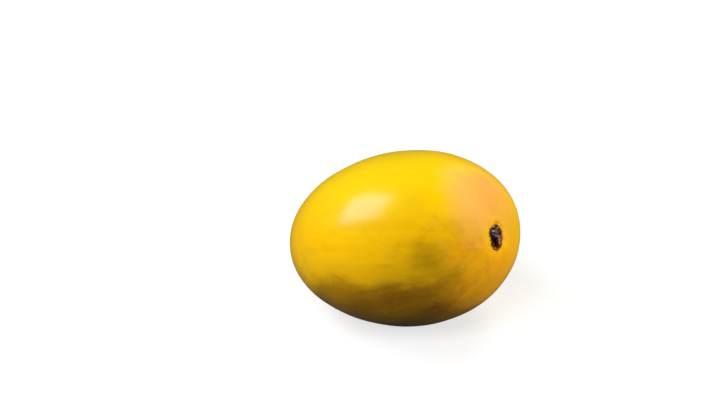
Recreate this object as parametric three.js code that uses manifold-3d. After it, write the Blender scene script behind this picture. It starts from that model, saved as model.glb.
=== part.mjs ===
// A ripe mango as picked, lying on one cheek. Millimetres, +Z up.
//
// The fruit is one solid. It is first shaped round its own axes: +X runs from the apex to the
// stem end, +Y to the belly edge with the beak, -Y to the rounded back, and Z through the two
// cheeks. It is then tipped until its stem end is the higher one, and trimmed flat where it
// rests. The origin is the middle of that resting spot.

import * as THREE from "three";
import { mergeVertices } from "three/addons/utils/BufferGeometryUtils.js";
import Module from "manifold-3d";

const DEGREE = Math.PI / 180;

// Driving dimensions of the body
const LENGTH = 97;
const WIDTH = 78.6;
const THICKNESS = 70.4;
const STEM_END_FULLNESS = 0.1; // the cheeks stand this share further out at the stem end
const BACK_BOW = 0.9; // the middle bows this far towards the back

// How it lies
const REST_TILT = 9 * DEGREE; // the stem end is raised by this
const REST_DEPTH = 0.7; // the resting spot is this deep a cut into the lower cheek

// Where the stem was: off the long axis, and turned round it from the belly edge
const STEM_OFF_AXIS = 19 * DEGREE;
const STEM_TURN = 154 * DEGREE;
const STEM_CURVE = 39; // the skin bends there as on a ball of this radius

// Soft swellings and hollows: the way they face from the middle of the fruit, how many degrees
// they reach, and how far they rise, below zero for a hollow
const SWELLINGS = [
  { name: "belly shoulder", faces: [0.8, 0.6, 0.05], reach: 24, rise: 1.2 },
  { name: "sinus", faces: [-0.62, 0.78, 0], reach: 17, rise: -1.3 },
  { name: "beak", faces: [-0.93, 0.36, 0], reach: 13, rise: 1.4 },
  { name: "upper cheek", faces: [0, 0.1, 1], reach: 30, rise: -0.5 },
  { name: "back, apex side", faces: [-0.3, -0.7, 0.6], reach: 14, rise: 0.35 },
  { name: "cheek, stem side", faces: [0.35, -0.3, 0.88], reach: 12, rise: -0.3 },
  { name: "back, low", faces: [0.1, -0.95, -0.3], reach: 15, rise: 0.3 },
];
const CAVITY = { reach: 7, rise: -1.1 }; // the shallow dip that the scar sits in

// The scar of the broken stalk: an oval, and its relief from the middle outwards
const SCAR_NARROWNESS = 0.7; // its width as a share of its height
const SCAR_LEAN = 26 * DEGREE; // its long way leans over by this, from up to across
const SCAR_RELIEF = [
  { radius: 0.8, rise: 0.1 }, // pith of the stalk
  { radius: 1.1, rise: 0.9 }, // woody ring of the stalk
  { radius: 1.9, rise: 0.8 },
  { radius: 2.3, rise: -0.3 }, // groove round the stalk
  { radius: 2.9, rise: -0.3 },
  { radius: 3.4, rise: 0.5 }, // corky crust
  { radius: 4.8, rise: 0.4 },
  { radius: 5.7, rise: 0 }, // edge of the scar, level with the skin
];

// How finely the skin is divided
const SECTORS = 72;
const SKIN_RINGS = 40;

const stemDirection = new THREE.Vector3(
  Math.cos(STEM_OFF_AXIS),
  Math.sin(STEM_OFF_AXIS) * Math.cos(STEM_TURN),
  Math.sin(STEM_OFF_AXIS) * Math.sin(STEM_TURN),
);

// Two directions square to the stem: across the scar, level, and up the scar
const scarAcross = new THREE.Vector3(0, 0, 1).cross(stemDirection).normalize();
const scarUp = stemDirection.clone().cross(scarAcross);

function bell(distance, reach) {
  return Math.exp(-0.5 * (distance / reach) ** 2);
}

// The swellings, hollows and cavity together, on the side that a unit vector faces
function swell(direction) {
  const degreesFrom = (other) => direction.angleTo(other) / DEGREE;
  let rise = CAVITY.rise * bell(degreesFrom(stemDirection), CAVITY.reach);
  for (const swelling of SWELLINGS) {
    const centre = new THREE.Vector3(...swelling.faces);
    rise += swelling.rise * bell(degreesFrom(centre), swelling.reach);
  }
  return rise;
}

// The point of the skin on the side that a unit vector faces, in the fruit's own axes
function skinPoint(direction, relief) {
  const { x, y, z } = direction;
  const point = new THREE.Vector3(
    (LENGTH / 2) * x,
    (WIDTH / 2) * y - BACK_BOW * (1 - x * x),
    (THICKNESS / 2) * z * (1 + STEM_END_FULLNESS * x),
  );
  return point.addScaledVector(direction, swell(direction) + relief);
}

// The unit vector at an angle from the stem, on one sector of the turn round it
function directionAt(angle, turn) {
  return stemDirection
    .clone()
    .multiplyScalar(Math.cos(angle))
    .addScaledVector(scarAcross, Math.sin(angle) * Math.cos(turn))
    .addScaledVector(scarUp, Math.sin(angle) * Math.sin(turn));
}

// The angle that a distance from the middle of the oval scar spans
function scarAngle(radius, turn) {
  const leaned = turn + SCAR_LEAN;
  const oval = 1 / Math.hypot(Math.cos(leaned) / SCAR_NARROWNESS, Math.sin(leaned));
  return (radius * oval) / STEM_CURVE;
}

function ring(angleAtTurn, relief) {
  const points = [];
  for (let sector = 0; sector < SECTORS; sector += 1) {
    const turn = (2 * Math.PI * sector) / SECTORS;
    points.push(skinPoint(directionAt(angleAtTurn(turn), turn), relief));
  }
  return points;
}

// The rings of points over the scar, then over the skin to the side opposite the stem
function allRings() {
  const rings = SCAR_RELIEF.map(({ radius, rise }) => ring((turn) => scarAngle(radius, turn), rise));
  const edge = SCAR_RELIEF.at(-1).radius;
  for (let step = 1; step < SKIN_RINGS; step += 1) {
    const share = step / SKIN_RINGS;
    rings.push(ring((turn) => THREE.MathUtils.lerp(scarAngle(edge, turn), Math.PI, share), 0));
  }
  return rings;
}

// Triangles between the first point, the rings in order and the last point, facing out
function shellFaces(ringCount) {
  const faces = [];
  const last = ringCount * SECTORS + 1;
  const at = (ringIndex, sector) => 1 + ringIndex * SECTORS + (sector % SECTORS);
  for (let sector = 0; sector < SECTORS; sector += 1) {
    faces.push(0, at(0, sector), at(0, sector + 1));
    for (let index = 0; index < ringCount - 1; index += 1) {
      const [a, b] = [at(index, sector), at(index, sector + 1)];
      const [c, d] = [at(index + 1, sector), at(index + 1, sector + 1)];
      faces.push(a, c, d, a, d, b);
    }
    faces.push(at(ringCount - 1, sector), last, at(ringCount - 1, sector + 1));
  }
  return faces;
}

function fruitGeometry() {
  const rings = allRings();
  const pith = skinPoint(stemDirection, SCAR_RELIEF[0].rise);
  const opposite = skinPoint(stemDirection.clone().negate(), 0);
  const points = [pith, ...rings.flat(), opposite];
  const geometry = new THREE.BufferGeometry().setFromPoints(points);
  geometry.setIndex(shellFaces(rings.length));
  geometry.rotateY(-REST_TILT);
  return geometry;
}

function pointsOf(geometry) {
  const position = geometry.getAttribute("position");
  const points = [];
  for (let index = 0; index < position.count; index += 1) {
    points.push(new THREE.Vector3().fromBufferAttribute(position, index));
  }
  return points;
}

// The lowest point of the tipped fruit goes below the ground by the depth of the resting spot
function sink(geometry) {
  const lowest = Math.min(...pointsOf(geometry).map((point) => point.z));
  geometry.translate(0, 0, -lowest - REST_DEPTH);
}

// The middle of the resting spot goes to the origin
function centreOnSpot(geometry) {
  const spot = pointsOf(geometry).filter((point) => point.z < 0.001);
  const { x, y } = new THREE.Box3().setFromPoints(spot).getCenter(new THREE.Vector3());
  geometry.translate(-x, -y, 0);
}

const manifold = await Module();
manifold.setup();

function toSolid(geometry) {
  const vertProperties = new Float32Array(geometry.getAttribute("position").array);
  const triVerts = new Uint32Array(geometry.getIndex().array);
  return new manifold.Manifold(new manifold.Mesh({ numProp: 3, vertProperties, triVerts }));
}

function toGeometry(solid) {
  const { vertProperties, triVerts } = solid.getMesh();
  const geometry = new THREE.BufferGeometry();
  geometry.setAttribute("position", new THREE.BufferAttribute(vertProperties, 3));
  geometry.setIndex(new THREE.BufferAttribute(triVerts, 1));
  geometry.computeVertexNormals();
  return geometry;
}

// Eight corners and twelve faces only, so that the block is one closed mesh
function groundBlock() {
  const side = 2 * LENGTH;
  const block = new THREE.BoxGeometry(side, side, side).translate(0, 0, -side / 2);
  block.deleteAttribute("normal");
  block.deleteAttribute("uv");
  return mergeVertices(block);
}

function mangoGeometry() {
  const fruit = fruitGeometry();
  sink(fruit);
  const trimmed = toGeometry(toSolid(fruit).subtract(toSolid(groundBlock())));
  centreOnSpot(trimmed);
  return trimmed;
}

const skin = new THREE.MeshStandardMaterial({ color: 0xf2b51d, roughness: 0.38, metalness: 0 });
const mango = new THREE.Mesh(mangoGeometry(), skin);
mango.name = "mango";

const group = new THREE.Group();
group.add(mango);

export default group;
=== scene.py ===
"""A ripe mango with its stalk scar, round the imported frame: an add-on's layout, run as a script."""

import math
from collections import namedtuple

import bpy
import numpy as np
from bpy.props import FloatProperty, FloatVectorProperty, IntProperty, PointerProperty
from mathutils import Matrix, Vector, noise


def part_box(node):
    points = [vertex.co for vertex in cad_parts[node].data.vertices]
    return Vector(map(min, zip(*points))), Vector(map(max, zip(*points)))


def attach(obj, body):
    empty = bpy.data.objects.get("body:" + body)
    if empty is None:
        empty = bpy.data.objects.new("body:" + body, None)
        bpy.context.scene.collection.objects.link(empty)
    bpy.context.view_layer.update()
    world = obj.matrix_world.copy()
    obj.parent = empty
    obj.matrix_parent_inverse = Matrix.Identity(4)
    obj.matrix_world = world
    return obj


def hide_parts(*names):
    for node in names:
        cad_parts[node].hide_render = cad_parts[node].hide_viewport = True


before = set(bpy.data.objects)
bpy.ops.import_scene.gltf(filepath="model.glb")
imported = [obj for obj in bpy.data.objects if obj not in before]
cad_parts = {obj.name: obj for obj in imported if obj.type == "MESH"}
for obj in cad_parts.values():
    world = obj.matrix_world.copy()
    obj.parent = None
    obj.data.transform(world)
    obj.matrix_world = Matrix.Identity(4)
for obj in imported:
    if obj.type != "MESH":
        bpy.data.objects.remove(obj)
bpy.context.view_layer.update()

bl_info = {
    "name": "Ripe Mango",
    "version": (1, 0, 0),
    "blender": (4, 5, 0),
    "location": "3D View > Sidebar > Mango",
    "description": "Builds a ripe mango with its stalk scar, and a plain pale stage for it",
    "category": "Add Mesh",
}

CAD_NODE = "mango"
BODY = "root"
MM = 0.001
FULL_TURN = 2 * math.pi


# ------------------------------ settings


def on_screen(red, green, blue):
    """A screen colour of 0 to 255 a channel, as the linear values that shaders use."""
    shares = [channel / 255 for channel in (red, green, blue)]
    return tuple(s / 12.92 if s <= 0.04045 else ((s + 0.055) / 1.055) ** 2.4 for s in shares)


def length(name, description, millimetres):
    return FloatProperty(
        name=name, description=description, default=millimetres * MM, unit="LENGTH", precision=5
    )


def angle(name, description, degrees):
    return FloatProperty(
        name=name, description=description, default=math.radians(degrees), subtype="ANGLE"
    )


def share(name, description, default):
    return FloatProperty(name=name, description=description, default=default, subtype="FACTOR")


def tint(name, description, red, green, blue):
    return FloatVectorProperty(
        name=name,
        description=description,
        default=on_screen(red, green, blue),
        subtype="COLOR",
        min=0,
        max=1,
    )


class MangoBody(bpy.types.PropertyGroup):
    """Sizes of the fruit. +X is its stem end, +Y its belly edge, and Z goes through its cheeks."""

    length: length("Length", "From the apex to the stem end", 97)
    width: length("Width", "From the back to the belly edge", 78.6)
    thickness: length("Thickness", "Through the two cheeks", 70.4)
    stem_fullness: share("Stem End Fullness", "How much further out the cheeks stand there", 0.1)
    back_bow: length("Back Bow", "How far the middle bows towards the back", 0.9)
    rest_tilt: angle("Rest Tilt", "How far the stem end is raised as it lies", 9)
    stem_off_axis: angle("Stem Off Axis", "From the long axis to the stalk scar", 19)
    stem_turn: angle("Stem Turn", "Round the long axis, from the belly edge to the scar", 154)
    unevenness: length("Unevenness", "How far soft dents go into the skin", 0.4)
    sectors: IntProperty(name="Sectors", description="Faces round the stem", default=300)
    rings: IntProperty(name="Rings", description="Rings of faces on each half", default=132)


class MangoScar(bpy.types.PropertyGroup):
    """Sizes of the scar that the stalk left: a crust of cork, with the broken stalk in it."""

    lean: angle("Lean", "How far the scar's long way leans over, from up to across", 26)
    skin_bed: length("Skin Bed", "How far the skin drops under the crust", 2.2)
    ragged: length("Raggedness", "How far the edge of the crust comes and goes", 0.5)
    cork_rise: length("Cork Rise", "How far the crust stands above the skin", 0.4)
    stub_radius: length("Stub Radius", "Outer radius of the broken stalk", 2.1)
    stub_rise: length("Stub Rise", "How far the stalk stands above the skin", 0.45)
    pleats: length("Pleats", "How deep the puckers round the crust are", 0.12)
    sectors: IntProperty(name="Sectors", description="Faces round the crust", default=240)
    rings: IntProperty(name="Rings", description="Rings of faces from its middle out", default=80)


class MangoColours(bpy.types.PropertyGroup):
    """Colours of the skin and of the scar."""

    # Sunny yellow is partly the sunnier side's own colour and partly painted light: the upper cheek is
    # made yellower where the light on the top is strongest.
    sunny: tint("Sunny Yellow", "The upper cheek", 247, 207, 5)
    golden: tint("Golden", "The rest of the skin", 253, 196, 3)
    amber: tint("Amber", "The end of the fruit round the scar", 254, 178, 14)
    olive: tint("Olive", "A patch on the side that kept some green", 206, 157, 4)
    # Olive brown is partly the skin's own colour and partly painted shade: the side that the fruit lies
    # on is made darker towards the ground.
    brown: tint("Olive Brown", "The side that the fruit lies on", 170, 120, 2)
    green: tint("Green", "The last green, near the apex underneath", 144, 144, 24)
    halo: tint("Halo", "The paler skin at the upper edge of the blush", 250, 208, 62)
    blush: tint("Blush", "The shoulder above the scar, and the belly edge", 250, 181, 82)
    rose: tint("Rose", "The heart of the blush", 243, 140, 66)
    ring: tint("Ring", "The clear skin round the scar", 254, 190, 8)
    flame: tint("Flame", "A low patch of the amber end", 236, 118, 16)
    dusk: tint("Dusk", "What the streaks along the fruit darken the skin by", 204, 180, 150)
    pale: tint("Pale Dot", "The breathing pores of the skin", 255, 224, 70)
    gloss: tint("Gloss", "What the gloss keeps of white light", 255, 200, 255)
    sap: tint("Sap Stain", "Where sap dried on the skin round the scar", 168, 108, 30)
    # Dark cork is partly painted shade in the hollows, pits and cracks, and pale cork partly painted
    # light on the raised tops of the flakes.
    cork_dark: tint("Dark Cork", "Cracks and the hollows", 30, 6, 3)
    cork: tint("Cork", "Most of the crust", 88, 48, 16)
    cork_pale: tint("Pale Cork", "The tops of the flakes", 196, 150, 118)
    rust: tint("Rust", "The outer edge of the crust", 150, 74, 8)
    wood: tint("Wood", "The broken stalk", 112, 100, 88)
    # Pale wood is partly a painted highlight, on the stalk's lit upper rim and fibres.
    wood_pale: tint("Pale Wood", "Torn edges of the stalk", 206, 180, 168)


class MangoStage(bpy.types.PropertyGroup):
    """The camera, the lamps and the floor."""

    azimuth: angle("Azimuth", "The camera's way round the fruit, from -Y towards +X", 21.3)
    elevation: angle("Elevation", "How high the camera looks down from", 31)
    roll: angle("Roll", "The camera's lean to its right", 3.95)
    distance: length("Distance", "From the camera to the middle of the fruit", 620)
    look_left: length("Look Left", "How far left of the fruit the camera aims", 17.0)
    look_up: length("Look Up", "How far above the fruit the camera aims", 12.5)
    lens: FloatProperty(
        name="Lens", description="Focal length in millimetres", default=75.7, unit="CAMERA"
    )
    world: share("Ambient", "Light from all round", 0.03)
    mirrored: share("Mirrored", "How much of the white surroundings the skin mirrors", 0.1)
    floor_mirrored: share("Floor Mirrored", "How much of the white floor the skin mirrors", 0.03)
    floor_bounce: share("Floor Bounce", "How pale the floor is to the light it returns", 0.038)


# ------------------------------ the form of the fruit

Swelling = namedtuple("Swelling", "faces reach rise")

# Which way each faces from the middle of the fruit, its reach in degrees and its rise in mm
SWELLINGS = {
    "belly shoulder": Swelling((0.8, 0.6, 0.05), 24, 1.2),
    "sinus": Swelling((-0.62, 0.78, 0), 17, -1.3),
    "beak": Swelling((-0.93, 0.36, 0), 13, 1.4),
    "upper cheek": Swelling((0, 0.1, 1), 30, -0.5),
    "back, apex side": Swelling((-0.3, -0.7, 0.6), 14, 0.35),
    "cheek, stem side": Swelling((0.35, -0.3, 0.88), 12, -0.3),
    "back, low": Swelling((0.1, -0.95, -0.3), 15, 0.3),
}
CAVITY_REACH, CAVITY_RISE = 7, -1.1  # the dip that the scar sits in, in the same way


def unit(vector):
    vector = np.asarray(vector, float)
    return vector / np.linalg.norm(vector, axis=-1, keepdims=True)


def bell(distance, reach):
    return np.exp(-0.5 * (distance / reach) ** 2)


def smooth(low, high, value):
    """0 below low, 1 above high and a smooth step between."""
    t = np.clip((value - low) / (high - low), 0, 1)
    return t * t * (3 - 2 * t)


def noise_at(points, size, layers=1):
    """Smooth noise of about -1 to 1 whose features are about size across."""
    found = np.zeros(len(points))
    for layer in range(layers):
        scale = 2**layer / size
        offset = Vector((7.3 * layer, 3.1 * layer, 11.9 * layer))
        values = [noise.noise(Vector(p) * scale + offset) for p in points]
        found += np.array(values) / 2**layer
    return found


class Fruit:
    """The plain form of the fruit and its place, worked out from its sizes and the CAD solid."""

    def __init__(self, body, scar):
        self.body = body
        off, turn = body.stem_off_axis, body.stem_turn
        self.stem = np.array(
            [math.cos(off), math.sin(off) * math.cos(turn), math.sin(off) * math.sin(turn)]
        )
        level = unit(np.cross((0, 0, 1), self.stem))
        steep = np.cross(self.stem, level)
        self.up = math.cos(scar.lean) * steep + math.sin(scar.lean) * level
        self.across = np.cross(self.up, self.stem)
        self.tip = np.array(Matrix.Rotation(-body.rest_tilt, 3, "Y"))
        self.shift = np.zeros(3)
        self.shift = self.resting_shift()
        self.scar_frame, self.scar_curve = self.look_at_scar()

    def own_points(self, ways):
        """Points of the plain skin on the sides that unit vectors face, in the fruit's own axes."""
        x, y, z = ways.T
        points = np.stack(
            [
                self.body.length / 2 * x,
                self.body.width / 2 * y - self.body.back_bow * (1 - x * x),
                self.body.thickness / 2 * z * (1 + self.body.stem_fullness * x),
            ],
            axis=1,
        )
        rise = self.bump(ways, self.stem, CAVITY_REACH) * CAVITY_RISE
        for swelling in SWELLINGS.values():
            rise = rise + self.bump(ways, unit(swelling.faces), swelling.reach) * swelling.rise
        return points + ways * (rise * MM)[:, None]

    @staticmethod
    def bump(ways, faces, reach):
        return bell(np.degrees(np.arccos(np.clip(ways @ faces, -1, 1))), reach)

    def ways(self, angles, turns):
        """Unit vectors at angles from the stem, and at turns round it from across to up."""
        flat = np.cos(turns)[:, None] * self.across + np.sin(turns)[:, None] * self.up
        return np.cos(angles)[:, None] * self.stem + np.sin(angles)[:, None] * flat

    def lie(self, points):
        """Points of the fruit's own axes, where they are as it lies."""
        return points @ self.tip.T + self.shift

    def facing(self, faces):
        """The way from the middle of the fruit, as it lies, to a side named as on a ball."""
        half_sizes = np.array([self.body.length, self.body.width, self.body.thickness]) / 2
        return unit(self.tip @ (np.array(faces) * half_sizes))

    def resting_shift(self):
        """The move that puts the tipped fruit where the CAD solid is, level with its top."""
        steps = 240
        turns, angles = np.meshgrid(
            np.linspace(0, FULL_TURN, steps), np.linspace(0, math.pi, steps)
        )
        points = self.lie(self.own_points(self.ways(angles.ravel(), turns.ravel())))
        low, high = points.min(axis=0), points.max(axis=0)
        cad_low, cad_high = (np.array(corner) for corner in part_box(CAD_NODE))
        shift = (cad_low + cad_high - low - high) / 2
        shift[2] = cad_high[2] - high[2]
        return shift

    def look_at_scar(self):
        """The scar's middle and its unit vectors across, up and out, then how far the skin goes
        across and up for each radian."""
        step = 0.05
        angles = np.array([0, step, step])
        turns = np.array([0, 0, math.pi / 2])
        middle, beside, above = self.lie(self.own_points(self.ways(angles, turns)))
        out = unit(np.cross(beside - middle, above - middle))
        across = unit(self.tip @ self.across - out * (self.tip @ self.across @ out))
        curve = np.linalg.norm([beside - middle, above - middle], axis=1) / step
        return (middle, across, np.cross(out, across), out), curve

    def scar_places(self, angles, turns):
        """Distances and turns from the middle of the scar, measured on the skin."""
        across = angles * np.cos(turns) * self.scar_curve[0]
        up = angles * np.sin(turns) * self.scar_curve[1]
        return np.hypot(across, up), np.arctan2(up, across)

    def skin_at(self, radii, turns):
        """Points of the plain skin at distances and turns from the middle of the scar."""
        across = radii * np.cos(turns) / self.scar_curve[0]
        up = radii * np.sin(turns) / self.scar_curve[1]
        ways = self.ways(np.hypot(across, up), np.arctan2(up, across))
        return self.lie(self.own_points(ways))


# ------------------------------ meshes


def polar_faces(rings, sectors):
    """Faces between a first point, rings of points and a last point, facing out."""
    here = np.arange(sectors)
    after = (here + 1) % sectors
    last = rings * sectors + 1
    faces = [(0, 1 + a, 1 + b) for a, b in zip(here.tolist(), after.tolist())]
    for ring in range(rings - 1):
        upper = 1 + ring * sectors
        lower = upper + sectors
        rows = np.stack([upper + here, lower + here, lower + after, upper + after], axis=1)
        faces.extend(map(tuple, rows.tolist()))
    upper = 1 + (rings - 1) * sectors
    faces.extend((upper + a, last, upper + b) for a, b in zip(here.tolist(), after.tolist()))
    return faces


def link_to_scene(thing):
    bpy.context.scene.collection.objects.link(thing)
    return thing


def new_piece(name, points, faces, material):
    mesh = bpy.data.meshes.new(name)
    mesh.from_pydata(points.tolist(), [], faces)
    mesh.validate()
    mesh.shade_smooth()
    mesh.materials.append(material)
    return link_to_scene(bpy.data.objects.new(name, mesh))


def give_values(piece, name, values):
    """One number for each point, which the piece's material reads by name."""
    attribute = piece.data.attributes.new(name, "FLOAT", "POINT")
    attribute.data.foreach_set("value", np.asarray(values, np.float32))


def ring_grid(ring_values, sectors):
    """The value of each ring and the turn of each sector, point by point."""
    turns = np.arange(sectors) * FULL_TURN / sectors
    return np.repeat(ring_values, sectors), np.tile(turns, len(ring_values))


def with_ends(first, middle, last):
    return np.concatenate([[first], middle, [last]])


def lay_out_halves(piece, angles, turns):
    """A UV map with the stem half of the skin in one disc and the apex half in another."""
    disc_radius = 0.285
    stem_disc, apex_disc = np.array([0.29, 0.29]), np.array([0.71, 0.71])
    half = math.pi / 2
    mesh = piece.data
    corners = np.empty(len(mesh.loops), np.int32)
    mesh.loops.foreach_get("vertex_index", corners)
    starts = np.empty(len(mesh.polygons), np.int32)
    sizes = np.empty(len(mesh.polygons), np.int32)
    mesh.polygons.foreach_get("loop_start", starts)
    mesh.polygons.foreach_get("loop_total", sizes)
    middle_angle = np.add.reduceat(angles[corners], starts) / sizes
    on_stem_half = np.repeat(middle_angle < half, sizes)
    angle, turn = angles[corners], turns[corners]
    reach = np.where(on_stem_half, angle, math.pi - angle) / half * disc_radius
    way = np.where(on_stem_half, 1, -1)
    u = np.where(on_stem_half, stem_disc[0], apex_disc[0]) + reach * np.cos(turn)
    v = np.where(on_stem_half, stem_disc[1], apex_disc[1]) + reach * np.sin(turn) * way
    layer = mesh.uv_layers.new(name="OFBake")
    layer.data.foreach_set("uv", np.stack([u, v], axis=1).ravel().astype(np.float32))


# ------------------------------ shader helpers


def add_node(tree, kind, inputs=None, **settings):
    """Adds a node. Each input is given a value, or is linked if an output is given for it."""
    node = tree.nodes.new(kind)
    for name, value in settings.items():
        setattr(node, name, value)
    for name, value in (inputs or {}).items():
        if isinstance(value, bpy.types.NodeSocket):
            tree.links.new(value, node.inputs[name])
        else:
            node.inputs[name].default_value = value
    return node


def opaque(colour):
    return (*colour, 1)


def maths(tree, operation, *values):
    inputs = dict(enumerate(values))
    return add_node(tree, "ShaderNodeMath", inputs, operation=operation).outputs[0]


def vector_maths(tree, operation, *values, output="Vector"):
    inputs = dict(enumerate(values))
    return add_node(tree, "ShaderNodeVectorMath", inputs, operation=operation).outputs[output]


def ramp_value(tree, value, low, high, to_low=0.0, to_high=1.0):
    """A smooth step from to_low to to_high as value goes from low to high."""
    inputs = {"Value": value, 1: low, 2: high, 3: to_low, 4: to_high}
    node = add_node(tree, "ShaderNodeMapRange", inputs, interpolation_type="SMOOTHSTEP")
    return node.outputs["Result"]


def mix_colour(tree, mask, first, second, blend="MIX"):
    """Goes from the first colour to the second as the mask goes from 0 to 1."""
    node = tree.nodes.new("ShaderNodeMix")
    node.data_type = "RGBA"
    node.blend_type = blend
    factor = node.inputs[0]
    sockets = [s for s in node.inputs if s.type == "RGBA"]
    for socket, value in zip([factor, *sockets], [mask, first, second]):
        if isinstance(value, bpy.types.NodeSocket):
            tree.links.new(value, socket)
        elif socket is factor:
            socket.default_value = value
        else:
            socket.default_value = opaque(value)
    return next(s for s in node.outputs if s.type == "RGBA")


def place(tree):
    """The place of the surface in the piece's own axes, in metres."""
    return add_node(tree, "ShaderNodeTexCoord").outputs["Object"]


def value_of(tree, name):
    """The number that give_values gave to each point of the piece."""
    return add_node(tree, "ShaderNodeAttribute", attribute_name=name).outputs["Fac"]


def set_surface(tree, shader, colour, roughness, height, depth, strength):
    """Links a shader's colour and roughness, and its fine relief, whose depth is in metres."""
    relief = {"Height": height, "Distance": depth, "Strength": strength}
    normal = add_node(tree, "ShaderNodeBump", relief).outputs["Normal"]
    tree.links.new(colour, shader.inputs["Base Color"])
    tree.links.new(roughness, shader.inputs["Roughness"])
    tree.links.new(normal, shader.inputs["Normal"])


def new_group(name, inputs, outputs):
    """An empty node group. Inputs are (name, socket type, default), outputs (name, type)."""
    group = bpy.data.node_groups.new(name, "ShaderNodeTree")
    for label, kind, default in inputs:
        socket = group.interface.new_socket(label, in_out="INPUT", socket_type=kind)
        if default is not None:
            socket.default_value = default
    for label, kind in outputs:
        group.interface.new_socket(label, in_out="OUTPUT", socket_type=kind)
    given = group.nodes.new("NodeGroupInput")
    result = group.nodes.new("NodeGroupOutput")
    return group, given.outputs, result.inputs


def use_group(tree, group, **inputs):
    """Places a node group. An underscore in an input's name here stands for a space there."""
    named = {name.replace("_", " "): value for name, value in inputs.items()}
    return add_node(tree, "ShaderNodeGroup", named, node_tree=group).outputs


def draw_out(tree, where, along, shrunk):
    """Places shrunk along one way, so that a texture there is drawn out along it."""
    reach = vector_maths(tree, "DOT_PRODUCT", where, along, output="Value")
    less = maths(tree, "MULTIPLY", reach, maths(tree, "SUBTRACT", shrunk, 1.0))
    back = add_node(
        tree, "ShaderNodeVectorMath", {0: along, "Scale": less}, operation="SCALE"
    ).outputs["Vector"]
    return vector_maths(tree, "ADD", where, back)


FLOAT, VECTOR = "NodeSocketFloat", "NodeSocketVector"
BORDER_SHRUNK = 0.35  # a side's border along the fruit, which draws its waves out


def side_group():
    """Masks one side of the fruit: 1 within Core degrees of a way, 0 past Edge, with a wavy border."""
    name = "Side of the Fruit"
    if name in bpy.data.node_groups:
        return bpy.data.node_groups[name]
    group, given, result = new_group(
        name,
        [
            ("Place", VECTOR, None),
            ("Middle", VECTOR, None),
            ("Facing", VECTOR, None),
            ("Along", VECTOR, (1, 0, 0)),
            ("Core", FLOAT, 10),
            ("Edge", FLOAT, 30),
            ("Waver", FLOAT, 8),
            ("Waver Size", FLOAT, 0.02),
        ],
        [("Mask", FLOAT)],
    )
    away = vector_maths(group, "SUBTRACT", given["Place"], given["Middle"])
    way = vector_maths(group, "NORMALIZE", away)
    cosine = vector_maths(group, "DOT_PRODUCT", way, given["Facing"], output="Value")
    held = maths(group, "MINIMUM", maths(group, "MAXIMUM", cosine, -1.0), 1.0)
    degrees = maths(group, "DEGREES", maths(group, "ARCCOSINE", held))
    scale = maths(group, "DIVIDE", 1.0, given["Waver Size"])
    drawn = draw_out(group, given["Place"], given["Along"], BORDER_SHRUNK)
    waves = add_node(
        group, "ShaderNodeTexNoise", {"Vector": drawn, "Scale": scale, "Detail": 4.0}
    ).outputs["Fac"]
    wavering = maths(group, "MULTIPLY", maths(group, "SUBTRACT", waves, 0.5), given["Waver"])
    moved = maths(group, "ADD", degrees, maths(group, "MULTIPLY", wavering, 2.0))
    group.links.new(ramp_value(group, moved, given["Edge"], given["Core"]), result["Mask"])
    return group


def speck_group():
    """Round specks scattered over a surface, each of its own size, and some left out."""
    name = "Scattered Specks"
    if name in bpy.data.node_groups:
        return bpy.data.node_groups[name]
    group, given, result = new_group(
        name,
        [
            ("Place", VECTOR, None),
            ("Spacing", FLOAT, 0.003),
            ("Size", FLOAT, 0.0004),
            ("Share", FLOAT, 0.6),
        ],
        [("Mask", FLOAT)],
    )
    scale = maths(group, "DIVIDE", 1.0, given["Spacing"])
    cells = add_node(
        group, "ShaderNodeTexVoronoi", {"Vector": given["Place"], "Scale": scale, "Randomness": 1.0}
    ).outputs
    luck = add_node(group, "ShaderNodeSeparateColor", {0: cells["Color"]}).outputs
    kept = maths(group, "LESS_THAN", luck[0], given["Share"])
    own_size = maths(group, "MULTIPLY", ramp_value(group, luck[1], 0.0, 1.0, 0.5, 1.3), given["Size"])
    radius = maths(group, "DIVIDE", own_size, given["Spacing"])
    inner = maths(group, "MULTIPLY", radius, 0.35)
    disc = ramp_value(group, cells["Distance"], radius, inner)
    group.links.new(maths(group, "MULTIPLY", disc, kept), result["Mask"])
    return group


def grain_group():
    """Two layers of noise over a surface, drawn out Along a way where Shrunk is below 1."""
    name = "Natural Grain"
    if name in bpy.data.node_groups:
        return bpy.data.node_groups[name]
    group, given, result = new_group(
        name,
        [
            ("Place", VECTOR, None),
            ("Along", VECTOR, (1, 0, 0)),
            ("Shrunk", FLOAT, 1),
            ("Size", FLOAT, 0.002),
        ],
        [("Value", FLOAT), ("Fine", FLOAT)],
    )
    drawn = draw_out(group, given["Place"], given["Along"], given["Shrunk"])
    scale = maths(group, "DIVIDE", 1.0, given["Size"])
    coarse = add_node(
        group, "ShaderNodeTexNoise", {"Vector": drawn, "Scale": scale, "Detail": 4.0, "Roughness": 0.55}
    )
    finer = maths(group, "MULTIPLY", scale, 4.0)
    fine = add_node(group, "ShaderNodeTexNoise", {"Vector": drawn, "Scale": finer, "Detail": 2.0})
    group.links.new(coarse.outputs["Fac"], result["Value"])
    group.links.new(fine.outputs["Fac"], result["Fine"])
    return group


def new_material(name):
    material = bpy.data.materials.new(name)
    material.use_nodes = True
    tree = material.node_tree
    return material, tree, tree.nodes["Principled BSDF"]


# ------------------------------ the skin

Side = namedtuple("Side", "faces core edge waver wave_size", defaults=(0.012,))
Patch = namedtuple("Patch", "colour strength side")
Layer = namedtuple("Layer", "shrunk size start full strength")

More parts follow.
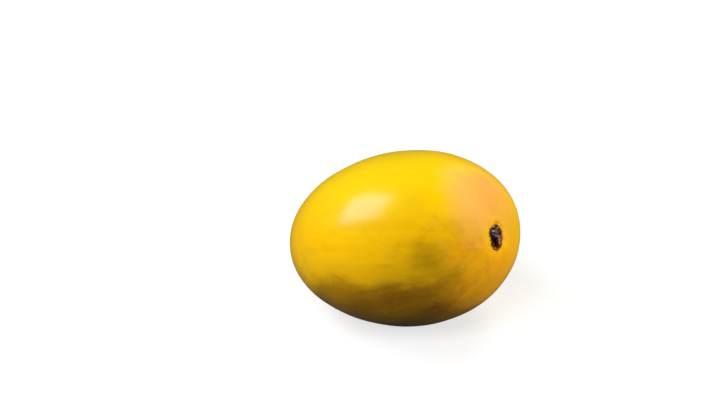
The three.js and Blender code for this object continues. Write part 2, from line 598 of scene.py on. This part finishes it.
# A side of the fruit is the way that it would face on a ball, in the fruit's own axes, then its
# core and edge in degrees from there, and how far in degrees and how coarsely in metres its
# border wavers. The patches are laid over the golden skin in this order.
PATCHES = {
    # Partly painted light: the upper cheek is yellower where the top is most brightly lit.
    "sunny and painted lit top": Patch("sunny", 1.0, Side((-0.08, -0.01, 1), 30, 67, 8)),
    "dull patch": Patch("olive", 0.15, Side((0.38, -0.52, 0.76), 2, 13, 6)),
    "low olive": Patch("olive", 0.6, Side((0.54, -0.84, 0.04), 5, 23, 8)),
    "olive": Patch("olive", 0.85, Side((0.5, -0.83, 0.25), 2, 13, 6, 0.007)),
    "olive tip": Patch("olive", 0.6, Side((0.6, -0.77, 0.24), 1, 11, 5, 0.007)),
    # Partly painted shade: the underside is darker brown towards the ground.
    "brown": Patch("brown", 1.0, Side((0.17, -0.68, -0.71), 38, 49, 8, 0.0055)),
    # Painted shadow, as a fruit lying close beside it would cast, low at the back towards the apex;
    # partly the brown underside carried on.
    "low painted shadow": Patch("brown", 0.8, Side((-0.27, -0.88, -0.4), 20, 32, 8, 0.0055)),
    "green": Patch("green", 0.7, Side((-0.66, 0.35, -0.66), 14, 46, 12)),
    "amber end": Patch("amber", 0.9, Side((0.87, -0.48, -0.13), 17, 34, 7)),
    # Painted shade: brown laid over the amber end low on its flank to darken it.
    "low flank painted shade": Patch("brown", 0.45, Side((0.62, -0.775, -0.08), 3, 14, 6, 0.0055)),
    "belly blush": Patch("blush", 0.6, Side((0.35, 0.9, 0.1), 12, 44, 10)),
    "far blush": Patch("blush", 0.5, Side((0.66, 0.66, 0.36), 6, 32, 16, 0.009)),
    "halo": Patch("halo", 0.9, Side((0.75, -0.06, 0.67), 9, 24, 9, 0.009)),
    "blush": Patch("blush", 0.9, Side((0.83, -0.18, 0.54), 10, 27, 9, 0.009)),
    "rose heart": Patch("rose", 0.3, Side((0.85, 0, 0.52), 4, 18, 5)),
    "veil": Patch("olive", 0.25, Side((0.955, -0.06, 0.29), 5, 15, 5)),
    "low veil": Patch("olive", 0.25, Side((0.99, 0.03, 0.08), 3, 13, 5)),
    "low flame": Patch("flame", 0.18, Side((0.92, -0.36, -0.24), 2, 13, 6)),
}

# Where the streaks show, and how strongly
STREAKED_SIDES = (
    (Side((0.54, -0.84, -0.02), 20, 47, 8), 1.0),  # beside the olive patch
    (Side((-0.15, -0.95, 0.05), 36, 66, 8), 0.45),  # the back
    (Side((-0.2, 0.95, 0), 34, 66, 10), 0.8),  # the belly edge
)
BARELY_STREAKED = 0.12  # the dull streaks' strength on the other sides

# Layers of noise over the skin: how far each is shrunk along the fruit, which draws it out, its
# size in metres, the values of the noise where it starts and is full, and its full strength
DULL_STREAKS = (
    Layer(0.2, 0.006, 0.42, 0.66, 0.25),
    Layer(0.16, 0.0018, 0.4, 0.7, 0.14),
    Layer(0.5, 0.0032, 0.45, 0.68, 0.18),
)
WARM_STREAKS = Layer(0.35, 0.005, 0.5, 0.72, 0.16)
CLOUDS = Layer(0.5, 0.014, 0.45, 0.72, 0.2)

# The pale pores of the skin, large and fine: metres, then the share of them that is kept
DOTS = {"Spacing": 0.0026, "Size": 0.00048, "Share": 0.62}
FINE_DOTS = {"Spacing": 0.0015, "Size": 0.0002, "Share": 0.5}


def skin_material(colours, fruit):
    material, tree, shader = new_material("mango_skin")
    where = place(tree)
    middle = tuple(fruit.shift)
    along = tuple(fruit.tip @ (1, 0, 0))

    def grain(shrunk, size):
        return use_group(
            tree, grain_group(), Place=where, Along=along, Shrunk=shrunk, Size=size
        )["Value"]

    def layer_mask(layer):
        noise_value = grain(layer.shrunk, layer.size)
        return ramp_value(tree, noise_value, layer.start, layer.full, 0.0, layer.strength)

    def side_mask(side):
        return use_group(
            tree,
            side_group(),
            Place=where,
            Middle=middle,
            Facing=tuple(fruit.facing(side.faces)),
            Along=along,
            Core=side.core,
            Edge=side.edge,
            Waver=side.waver,
            Waver_Size=side.wave_size,
        )["Mask"]

    def part(mask, amount):
        return maths(tree, "MULTIPLY", mask, amount)

    colour = colours.golden
    for patch in PATCHES.values():
        mask = part(side_mask(patch.side), patch.strength)
        colour = mix_colour(tree, mask, colour, getattr(colours, patch.colour))

    # Streaks drawn out along the fruit, dull ones and warm ones, and cloudy patches
    streaked = 0.0
    for side, strength in STREAKED_SIDES:
        streaked = maths(tree, "MAXIMUM", streaked, part(side_mask(side), strength))
    dull = 0.0
    for layer in DULL_STREAKS:
        dull = maths(tree, "ADD", dull, layer_mask(layer))
    dull = part(dull, ramp_value(tree, streaked, 0.0, 1.0, BARELY_STREAKED, 1.0))
    colour = mix_colour(tree, dull, colour, colours.dusk, blend="MULTIPLY")
    warm = part(layer_mask(WARM_STREAKS), streaked)
    colour = mix_colour(tree, warm, colour, colours.blush)
    colour = mix_colour(tree, layer_mask(CLOUDS), colour, colours.sunny)

    # A clear ring round the scar, and the sap that dried close to it
    colour = mix_colour(tree, part(value_of(tree, "ring"), 0.6), colour, colours.ring)
    blotched = ramp_value(tree, grain(1.0, 0.0016), 0.3, 0.65, 0.35, 1.0)
    colour = mix_colour(tree, part(value_of(tree, "stain"), blotched), colour, colours.sap)

    dots = use_group(tree, speck_group(), Place=where, **DOTS)["Mask"]
    fine_dots = use_group(tree, speck_group(), Place=where, **FINE_DOTS)["Mask"]
    colour = mix_colour(tree, part(dots, 0.2), colour, colours.pale)
    colour = mix_colour(tree, part(fine_dots, 0.1), colour, colours.pale)

    shader.inputs["Specular Tint"].default_value = opaque(colours.gloss)
    clouds = grain(CLOUDS.shrunk, CLOUDS.size)
    roughness = ramp_value(tree, clouds, 0.3, 0.7, 0.21, 0.24)
    height = maths(tree, "ADD", grain(1.0, 0.0011), part(dots, 0.5))
    set_surface(tree, shader, colour, roughness, height, 0.00002, 0.4)
    return material


PLEATS_ROUND = 9
PLEAT_REACH = 0.004  # metres out from the crust
RING_CROWDING = 1.35  # above 1, the rings of faces lie closer together near the scar
DENT_SIZE = 0.021  # metres across
DENTS_START, DENTS_FULL = 0.004, 0.014  # metres from the middle of the scar
BED_INSET = 0.25 * MM  # the skin starts to drop this far inside the crust's edge
BED_FLAT = 0.6  # and is down by this share of the way out to it
RING_FULL, RING_FADED = 1.5 * MM, 5 * MM  # out from the crust's edge
SAP_REACH = 0.9 * MM


def pleats_at(past_edge, turns):
    """Soft puckers that run out from the crust and fade, from -1 to 0."""
    round_trip = np.stack([np.cos(turns), np.sin(turns), past_edge / 0.02], axis=1)
    waves = np.cos(PLEATS_ROUND * turns + 1.4 * noise_at(round_trip, 0.9))
    return (waves - 1) / 2 * bell(past_edge, PLEAT_REACH)


def make_skin(body, scar, colours):
    fruit = Fruit(body, scar)
    half = np.arange(1, body.rings + 1) / body.rings
    near = half**RING_CROWDING * math.pi / 2
    far = math.pi / 2 * (1 + half[:-1])
    ring_angles = np.concatenate([near, far])
    angles, turns = ring_grid(ring_angles, body.sectors)
    angles, turns = with_ends(0, angles, math.pi), with_ends(0, turns, 0)
    ways = fruit.ways(angles, turns)
    points = fruit.own_points(ways)

    radii, scar_turns = fruit.scar_places(angles, turns)
    edge = crust_edge(scar, scar_turns)
    bed = smooth(edge - BED_INSET, edge * BED_FLAT, radii) * scar.skin_bed
    dents = noise_at(points, DENT_SIZE, layers=2) * 0.5 - 0.5
    uneven = body.unevenness * dents * smooth(DENTS_START, DENTS_FULL, radii)
    pleats = scar.pleats * pleats_at(radii - edge, scar_turns)
    points = points + ways * (uneven + pleats - bed)[:, None]

    points = fruit.lie(points)
    floor_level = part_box(CAD_NODE)[0][2]
    points[:, 2] = np.maximum(points[:, 2], floor_level)
    faces = polar_faces(len(ring_angles), body.sectors)
    piece = new_piece("mango_skin", points, faces, skin_material(colours, fruit))
    lay_out_halves(piece, angles, turns)
    give_values(piece, "ring", smooth(RING_FADED, RING_FULL, radii - edge))
    give_values(piece, "stain", sap_stain(radii, scar_turns, edge))
    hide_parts(CAD_NODE)
    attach(piece, BODY)


def sap_stain(radii, turns, edge):
    """How far dried sap hides the skin: close to the crust, and in smudges above it."""
    across, up = radii * np.cos(turns) / MM, radii * np.sin(turns) / MM
    close = smooth(SAP_REACH, 0, radii - edge) * 0.55
    for smudge in SMUDGES:
        close = np.maximum(close, oval_cover(across, up, smudge) * smudge.tone)
    return close


# ------------------------------ the stalk scar

Spot = namedtuple("Spot", "across up long wide turn rise tone rust")

# The crust's edge: its distance in mm from the middle of the scar, every 30 degrees from
# across to up
CRUST_EDGE = (3.6, 3.8, 4.6, 5.2, 5.2, 4.5, 3.4, 3.3, 4.6, 5.2, 4.6, 3.9)

# Flakes, cracks and hollows of the crust: place and half sizes in mm, turn in degrees, rise in
# mm, then how pale and how rusty it is, from 0 to 1
SPOTS = (
    # Hollows, whose darkness is partly painted shade
    Spot(-1.6, 1.3, 2.4, 2.1, 0, -1.3, 0.06, 0),
    Spot(-0.3, -1.6, 1.5, 1.4, 95, -1.0, 0.07, 0.5),
    Spot(-0.5, -2.9, 1.0, 1.0, 90, -0.7, 0.14, 0.7),
    Spot(-2.3, -0.6, 0.6, 0.4, 80, 0.1, 0.5, 0.4),
    # The pale lip on the right, partly painted light where it faces the lamps
    Spot(0.7, 0.7, 0.9, 0.5, 125, 0.35, 0.9, 0.05),
    Spot(1.4, -0.5, 1.1, 0.58, 108, 0.4, 1, 0.1),
    Spot(1.6, -2.2, 0.9, 0.5, 88, 0.3, 0.9, 0.25),
    Spot(3.0, 0.6, 1.6, 0.5, 94, 0.1, 0.72, 1),
    Spot(2.9, -1.6, 0.8, 0.4, 100, 0.1, 0.7, 1),
    Spot(2.35, 1.75, 0.6, 0.45, 50, -0.6, 0, 0.4),
    Spot(2.2, 2.7, 0.6, 0.4, 60, 0.25, 0.66, 0.2),
    Spot(2.3, 3.65, 0.7, 0.4, 110, -0.1, 0.25, 0.5),
    Spot(0.95, 4.15, 0.55, 0.42, 20, 0.3, 1, 0),
    Spot(0.25, 4.4, 0.42, 0.4, 0, -0.5, 0.02, 0.3),
    Spot(0.15, 3.5, 0.8, 0.3, 25, 0.3, 0.85, 0),
    Spot(-1.75, 4.3, 0.65, 0.42, -15, 0.3, 1, 0.1),
    Spot(-2.75, 3.9, 0.4, 0.4, 50, -0.2, 0.15, 0.3),
    Spot(-1.5, 3.6, 1.0, 0.28, -10, 0, 0.35, 0.3),
    Spot(-3.55, 3.0, 0.7, 0.45, 70, 0.1, 0.66, 0.9),
    Spot(-2.3, -1.9, 1.2, 0.35, 96, 0.2, 0.22, 0.6),
    Spot(-1.9, -3.5, 0.6, 0.35, 110, 0.1, 0.3, 0.8),
    Spot(-1.15, -3.8, 0.75, 0.42, 100, 0.35, 0.84, 0.5),
    Spot(-0.5, -4.8, 0.8, 0.35, -8, 0.15, 0.5, 1),
    Spot(1.0, -4.4, 0.45, 0.5, 30, -0.1, 0.14, 0.9),
    Spot(1.1, -3.4, 0.6, 0.4, 60, 0, 0.2, 0.8),
)

# Torn fibres and pits of the broken stalk, in the same way. The pale ones are partly painted highlights
# of the lit rim and fibres, and the dark ones painted shade in the pit.
FIBRES = (
    # Pale upper rim, partly a painted highlight where it is lit from above
    Spot(-2.1, 2.45, 1.6, 0.32, -14, 0.3, 1, 0),
    Spot(-0.1, 2.2, 1.3, 0.65, -55, 0.2, 0.72, 0),
    # A dark pit and crack, their darkness painted shade
    Spot(-2.7, 1.35, 0.45, 0.7, 90, -0.6, 0, 0),
    Spot(-1.4, 1.8, 1.1, 0.2, -18, -0.5, 0.02, 0),
    # Two pale fibres, partly painted highlights
    Spot(-1.75, 1.3, 0.55, 0.3, -22, 0.3, 0.78, 0),
    Spot(-0.5, 0.75, 0.6, 0.36, -60, 0.35, 0.8, 0),
    # Dark sunken fibres, their darkness painted shade
    Spot(-1.5, 0.5, 0.8, 0.4, -30, -0.4, 0.06, 0),
)

# Smudges of sap on the skin, in the same way
SMUDGES = (
    Spot(0.75, 5.6, 1.9, 1.0, 0, 0, 0.5, 0),
    Spot(-3.4, 6.0, 1.2, 0.25, 92, 0, 0.5, 0),
    Spot(3.2, 4.4, 0.9, 0.6, 60, 0, 0.35, 0),
    Spot(1.9, -4.4, 1.0, 0.8, 60, 0, 0.3, 0),
)


def oval_cover(across, up, spot):
    """1 in the middle of a spot, falling smoothly to 0 past its edge."""
    turn = math.radians(spot.turn)
    x, y = across - spot.across, up - spot.up
    along = (x * math.cos(turn) + y * math.sin(turn)) / spot.long
    aside = (y * math.cos(turn) - x * math.sin(turn)) / spot.wide
    return smooth(1.25, 0.7, np.hypot(along, aside))


def crust_edge(scar, turns):
    """How far the crust reaches from the middle of the scar at each turn, ragged all round."""
    steps = np.arange(len(CRUST_EDGE)) * FULL_TURN / len(CRUST_EDGE)
    plain_edge = np.interp(turns, steps, CRUST_EDGE, period=FULL_TURN) * MM
    round_trip = np.stack([np.cos(turns), np.sin(turns), np.zeros(len(turns))], axis=1)
    teeth = noise_at(round_trip, 0.35) * 0.5 + noise_at(round_trip + 5, 0.11)
    return plain_edge + scar.ragged * teeth


HOLLOW = -0.5  # a spot whose rise is below this is a hollow
PLATE_SIZE, CRUMB_SIZE = 1.0, 0.32  # of the cork, in mm
RIM_START = 0.93  # from this share of the way out, the crust turns down at its edge
RIM_DROP = 0.35  # mm
CRUST_RIM_DEPTH = 1.2 * MM
CRUST_UNDER_DEPTH = 1.9 * MM


def add_spots(spots, across, up, crumbs, rise, tone):
    """Lays spots over a surface: hollows replace its rise, the others add to it."""
    for spot in spots:
        cover = oval_cover(across, up, spot)
        rise = rise + (spot.rise * (1 + 0.3 * crumbs) - rise * (spot.rise < HOLLOW)) * cover
        tone = tone + (spot.tone + 0.15 * crumbs - tone) * cover * 0.9
    return rise, tone


def crust_surface(scar, shares, radii, turns):
    """The rise of the crust over the skin in metres, how pale and how rusty it is."""
    across, up = radii * np.cos(turns) / MM, radii * np.sin(turns) / MM
    flat = np.stack([across, up, np.zeros(len(across))], axis=1)
    plates = noise_at(flat, PLATE_SIZE, layers=3)
    crumbs = noise_at(flat + 31, CRUMB_SIZE, layers=2)
    # Tone follows the rise, paler on raised flakes and darker low down: partly painted light and shade.
    rise = scar.cork_rise / MM * (0.6 + 0.8 * plates + 0.4 * crumbs)
    tone = 0.36 + 0.45 * plates + 0.35 * crumbs
    rise, tone = add_spots(SPOTS, across, up, crumbs, rise, tone)
    rust = smooth(0.6, 1.0, shares) * 0.6
    for spot in SPOTS:
        rust = rust + (spot.rust - rust) * oval_cover(across, up, spot)
    rim = smooth(1.0, RIM_START, shares)
    rise = rise * rim - RIM_DROP * (1 - rim)
    return rise * MM, np.clip(tone, 0, 1), np.clip(rust, 0, 1)


def make_crust(body, scar, colours):
    """The crust: a closed shell that follows the skin, ragged outside and hollow in the middle."""
    fruit = Fruit(body, scar)
    shares, turns = ring_grid(np.arange(1, scar.rings + 1) / scar.rings, scar.sectors)
    shares, turns = np.append(0, shares), np.append(0, turns)
    radii = shares * crust_edge(scar, turns)
    rise, tone, rust = crust_surface(scar, shares, radii, turns)
    out = fruit.scar_frame[3]
    base = fruit.skin_at(radii, turns)
    top = base + out * rise[:, None]
    rim = base[-scar.sectors :] - out * CRUST_RIM_DEPTH
    under = base[:1] - out * CRUST_UNDER_DEPTH
    points = np.concatenate([top, rim, under])
    faces = polar_faces(scar.rings + 1, scar.sectors)
    piece = new_piece("stalk_scar_crust", points, faces, cork_material(colours))
    spare = np.zeros(scar.sectors + 1)
    give_values(piece, "tone", np.concatenate([tone, spare]))
    give_values(piece, "rust", np.concatenate([rust, spare]))
    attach(piece, BODY)


CORK_PITS = {"Spacing": 0.0009, "Size": 0.00028, "Share": 0.4}


def cork_material(colours):
    material, tree, shader = new_material("mango_cork")
    where = place(tree)
    grain = use_group(tree, grain_group(), Place=where, Size=0.0006)
    grainy = ramp_value(tree, grain["Value"], 0.25, 0.75, -0.15, 0.15)
    shade = maths(tree, "ADD", value_of(tree, "tone"), grainy)
    low = mix_colour(tree, ramp_value(tree, shade, 0.05, 0.42), colours.cork_dark, colours.cork)
    rusty_low = mix_colour(tree, ramp_value(tree, shade, 0.05, 0.5), colours.cork_dark, colours.rust)
    colour = mix_colour(tree, value_of(tree, "rust"), low, rusty_low)
    pale = maths(tree, "MULTIPLY", ramp_value(tree, shade, 0.48, 0.9), 0.9)
    colour = mix_colour(tree, pale, colour, colours.cork_pale)
    pits = use_group(tree, speck_group(), Place=where, **CORK_PITS)["Mask"]
    colour = mix_colour(tree, maths(tree, "MULTIPLY", pits, 0.6), colour, colours.cork_dark)
    roughness = ramp_value(tree, grain["Fine"], 0.2, 0.8, 0.55, 0.85)
    set_surface(tree, shader, colour, roughness, grain["Value"], 0.00012, 0.8)
    return material


# ------------------------------ the broken stalk

STUB_PLACE = (-1.6, 1.3)  # across and up from the middle of the scar, in mm
STUB_OVAL = (1.15, 0.9)  # its width and height as shares of its radius
STUB_HIGH_SIDE = math.radians(75)  # the side that stands highest, from across to up
STUB_DEPTH = 2.0 * MM
STUB_RINGS, STUB_SECTORS = 60, 180
# The stalk's section, from its middle outwards: share of its radius, and rise in mm over its top
STUB_SECTION = (
    (0.0, -0.55),
    (0.3, -0.5),
    (0.5, -0.3),
    (0.68, -0.05),
    (0.84, 0.0),
    (0.95, -0.15),
    (1.0, -0.4),
    (1.04, -1.0),
    (1.06, -1.9),
)


def make_stub(body, scar, colours):
    """The stalk where it broke: a ring of torn wood, higher at its top, round sunken fibres."""
    fruit = Fruit(body, scar)
    middle, across, up, out = fruit.scar_frame
    ring_shares = np.linspace(0, STUB_SECTION[-1][0], STUB_RINGS + 1)[1:]
    shares, turns = ring_grid(ring_shares, STUB_SECTORS)
    shares, turns = np.append(0, shares), np.append(0, turns)
    section = np.array(STUB_SECTION)
    rise = np.interp(shares, section[:, 0], section[:, 1])

    round_trip = np.stack([np.cos(turns), np.sin(turns), shares], axis=1)
    torn = noise_at(round_trip * shares[:, None], 0.5) * 0.3
    torn = torn + noise_at(round_trip * shares[:, None] + 9, 0.16) * 0.2
    wall = smooth(0.45, 0.7, shares) * smooth(1.03, 0.95, shares)
    raised = 0.35 * np.cos(turns - STUB_HIGH_SIDE) - 0.15
    reach = shares * scar.stub_radius / MM * (1 + 0.12 * noise_at(round_trip + 3, 0.7))
    x = reach * np.cos(turns) * STUB_OVAL[0] + STUB_PLACE[0]
    y = reach * np.sin(turns) * STUB_OVAL[1] + STUB_PLACE[1]
    crumbs = noise_at(np.stack([x, y, np.zeros(len(x))], axis=1), 0.3, layers=2)
    rise = rise + wall * (torn + raised) + torn * 0.5
    # Paler on the high side of the rim, which is its top: partly painted light.
    tone = 0.15 + wall * (0.15 + raised * 0.4) + 0.5 * torn + 0.2 * crumbs
    rise, tone = add_spots(FIBRES, x, y, crumbs, rise, tone)
    tone = tone * smooth(1.02, 0.96, shares)
    height = scar.stub_rise + rise * MM
    top = middle + across * (x * MM)[:, None] + up * (y * MM)[:, None] + out * height[:, None]
    bottom = top[:1] - out * STUB_DEPTH
    points = np.concatenate([top, bottom])
    faces = polar_faces(STUB_RINGS, STUB_SECTORS)
    piece = new_piece("stalk_stub", points, faces, wood_material(colours))
    give_values(piece, "tone", np.append(tone, 0))
    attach(piece, BODY)


def wood_material(colours):
    material, tree, shader = new_material("mango_stalk_wood")
    grain = use_group(tree, grain_group(), Place=place(tree), Size=0.0005)
    grainy = ramp_value(tree, grain["Value"], 0.3, 0.7, -0.15, 0.15)
    shade = maths(tree, "ADD", value_of(tree, "tone"), grainy)
    colour = mix_colour(tree, ramp_value(tree, shade, 0.05, 0.5), colours.cork_dark, colours.wood)
    colour = mix_colour(tree, ramp_value(tree, shade, 0.55, 1.0), colour, colours.wood_pale)
    roughness = ramp_value(tree, grain["Fine"], 0.2, 0.8, 0.45, 0.75)
    set_surface(tree, shader, colour, roughness, grain["Value"], 0.0001, 0.7)
    return material


# ------------------------------ the stage

Lamp = namedtuple("Lamp", "azimuth elevation distance wide high turn light in_gloss")

# Soft boxes: the way round and up from the fruit in degrees, metres, how far they are turned in
# degrees, and the light that a white surface facing them would return
LAMPS = {
    "window": Lamp(-81, 51, 0.9, 0.49, 0.47, -20, 0.48, True),
    "left": Lamp(-45, 24, 1.0, 0.5, 0.5, 0, 0.37, False),
    "front": Lamp(0, 50, 1.0, 0.5, 0.5, 0, 0.46, False),
    "right": Lamp(107, 7, 1.0, 0.5, 0.3, 0, 0.96, False),
    "back": Lamp(165, 45, 1.0, 0.5, 0.5, 0, 0.38, False),
}


def way_round(azimuth, elevation):
    """The unit vector towards a place round the fruit: 0 is -Y, and 90 degrees is +X."""
    level = math.cos(elevation)
    return Vector(
        (math.sin(azimuth) * level, -math.cos(azimuth) * level, math.sin(elevation))
    )


def box_middle():
    low, high = (Vector(corner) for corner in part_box(CAD_NODE))
    return (low + high) / 2


def add_lamps():
    middle = box_middle()
    for name, lamp in LAMPS.items():
        data = bpy.data.lights.new(f"lamp_{name}", "AREA")
        data.shape = "RECTANGLE"
        data.size, data.size_y = lamp.wide, lamp.high
        data.energy = lamp.light * math.pi**2 * lamp.distance**2
        light = link_to_scene(bpy.data.objects.new(f"lamp_{name}", data))
        way = way_round(math.radians(lamp.azimuth), math.radians(lamp.elevation))
        light.location = middle + way * lamp.distance
        turn = Matrix.Rotation(math.radians(lamp.turn), 3, "Z").to_quaternion()
        light.rotation_euler = (way.to_track_quat("Z", "Y") @ turn).to_euler()
        light.visible_glossy = lamp.in_gloss
        data.cycles.use_multiple_importance_sampling = lamp.in_gloss


def seen_directly(tree, mirrored_share):
    """1 for rays from the camera or through glass, less for mirrored ones and 0 for the rest."""
    path = add_node(tree, "ShaderNodeLightPath").outputs
    either = maths(tree, "MAXIMUM", path["Is Camera Ray"], path["Is Transmission Ray"])
    mirrored = maths(tree, "MULTIPLY", path["Is Glossy Ray"], mirrored_share)
    return maths(tree, "MAXIMUM", either, mirrored)


def set_world(stage):
    world = bpy.data.worlds.new("pale_surroundings")
    world.use_nodes = True
    tree = world.node_tree
    background = tree.nodes["Background"]
    background.inputs["Color"].default_value = (1, 1, 1, 1)
    seen = seen_directly(tree, stage.mirrored)
    strength = ramp_value(tree, seen, 0.0, 1.0, stage.world, 1.0)
    tree.links.new(strength, background.inputs["Strength"])
    bpy.context.scene.world = world


FLOOR_REACH = 3.0  # metres each way
FLOOR_GREY = 0.42  # how pale it is to the lamps where it is seen
FLOOR_GLOW = 0.66  # its own light under the fruit, which rises to white further out
GLOW_RISES, GLOW_FULL = 0.2, 1.0  # metres from the origin


def floor_material(stage):
    """Pale: white where it is seen, with the shadow on it, but returning little light."""
    material, tree, shader = new_material("pale_floor")
    tree.nodes.remove(shader)
    lit = add_node(tree, "ShaderNodeBsdfDiffuse", {"Color": opaque([FLOOR_GREY] * 3)})
    away = vector_maths(tree, "LENGTH", place(tree), output="Value")
    white = ramp_value(tree, away, GLOW_RISES, GLOW_FULL, FLOOR_GLOW, 1.0)
    glow = add_node(tree, "ShaderNodeEmission", {"Color": (1, 1, 1, 1), "Strength": white})
    shown = add_node(tree, "ShaderNodeAddShader", {0: lit.outputs[0], 1: glow.outputs[0]})
    dim = opaque([stage.floor_bounce] * 3)
    returned = add_node(tree, "ShaderNodeBsdfDiffuse", {"Color": dim})
    mixed = add_node(
        tree,
        "ShaderNodeMixShader",
        {0: seen_directly(tree, stage.floor_mirrored), 1: returned.outputs[0], 2: shown.outputs[0]},
    )
    tree.links.new(mixed.outputs[0], tree.nodes["Material Output"].inputs["Surface"])
    return material


def add_floor(stage):
    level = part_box(CAD_NODE)[0][2]
    corners = np.array([(-1, -1, 0), (1, -1, 0), (1, 1, 0), (-1, 1, 0)]) * FLOOR_REACH
    corners = corners + (0, 0, level)
    floor = new_piece("floor", corners, [(0, 1, 2, 3)], floor_material(stage))


def add_camera(stage):
    camera = link_to_scene(bpy.data.objects.new("camera", bpy.data.cameras.new("camera")))
    camera.data.lens = stage.lens
    middle = box_middle()
    back = way_round(stage.azimuth, stage.elevation)
    level = back.to_track_quat("Z", "Y")
    leaning = level @ Matrix.Rotation(-stage.roll, 3, "Z").to_quaternion()
    right, up = leaning @ Vector((1, 0, 0)), leaning @ Vector((0, 1, 0))
    camera.location = middle + back * stage.distance
    aim = middle - right * stage.look_left + up * stage.look_up
    towards = (camera.location - aim).normalized()
    right = up.cross(towards).normalized()
    turned = Matrix((right, towards.cross(right), towards)).transposed()
    camera.rotation_euler = turned.to_euler()
    bpy.context.scene.camera = camera


# ------------------------------ operators and panel


class MANGO_OT_skin(bpy.types.Operator):
    """Builds the skin of the fruit in place of the plain solid"""

    bl_idname = "mango.skin"
    bl_label = "Mango Skin"

    def execute(self, context):
        scene = context.scene
        make_skin(scene.mango_body, scene.mango_scar, scene.mango_colours)
        return {"FINISHED"}


class MANGO_OT_stalk_scar(bpy.types.Operator):
    """Builds the corky scar at the stem end, with the broken stalk in it"""

    bl_idname = "mango.stalk_scar"
    bl_label = "Stalk Scar"

    def execute(self, context):
        scene = context.scene
        make_crust(scene.mango_body, scene.mango_scar, scene.mango_colours)
        make_stub(scene.mango_body, scene.mango_scar, scene.mango_colours)
        return {"FINISHED"}


class MANGO_OT_stage(bpy.types.Operator):
    """Sets up the pale floor, the soft lamps, the surroundings and the camera"""

    bl_idname = "mango.stage"
    bl_label = "Stage"

    def execute(self, context):
        stage = context.scene.mango_stage
        add_camera(stage)
        add_lamps()
        set_world(stage)
        add_floor(stage)
        context.scene.view_settings.view_transform = "Standard"
        return {"FINISHED"}


class MANGO_PT_panel(bpy.types.Panel):
    """Lists the pieces of the mango and its stage"""

    bl_idname = "MANGO_PT_panel"
    bl_label = "Ripe Mango"
    bl_space_type = "VIEW_3D"
    bl_region_type = "UI"
    bl_category = "Mango"

    def draw(self, context):
        for operator in OPERATORS:
            self.layout.operator(operator.bl_idname)
        for group in SETTINGS:
            box = self.layout.box()
            settings = getattr(context.scene, group)
            for name in settings.bl_rna.properties.keys():
                if name not in ("rna_type", "name"):
                    box.prop(settings, name)


OPERATORS = (MANGO_OT_stage, MANGO_OT_skin, MANGO_OT_stalk_scar)
SETTINGS = {
    "mango_body": MangoBody,
    "mango_scar": MangoScar,
    "mango_colours": MangoColours,
    "mango_stage": MangoStage,
}
CLASSES = (*SETTINGS.values(), *OPERATORS, MANGO_PT_panel)


def register():
    for cls in CLASSES:
        bpy.utils.register_class(cls)
    for name, group in SETTINGS.items():
        setattr(bpy.types.Scene, name, PointerProperty(type=group))


def unregister():
    for name in SETTINGS:
        delattr(bpy.types.Scene, name)
    for cls in reversed(CLASSES):
        bpy.utils.unregister_class(cls)


def main():
    register()
    bpy.ops.mango.stage()
    bpy.ops.mango.skin()
    bpy.ops.mango.stalk_scar()


if __name__ == "__main__":
    main()
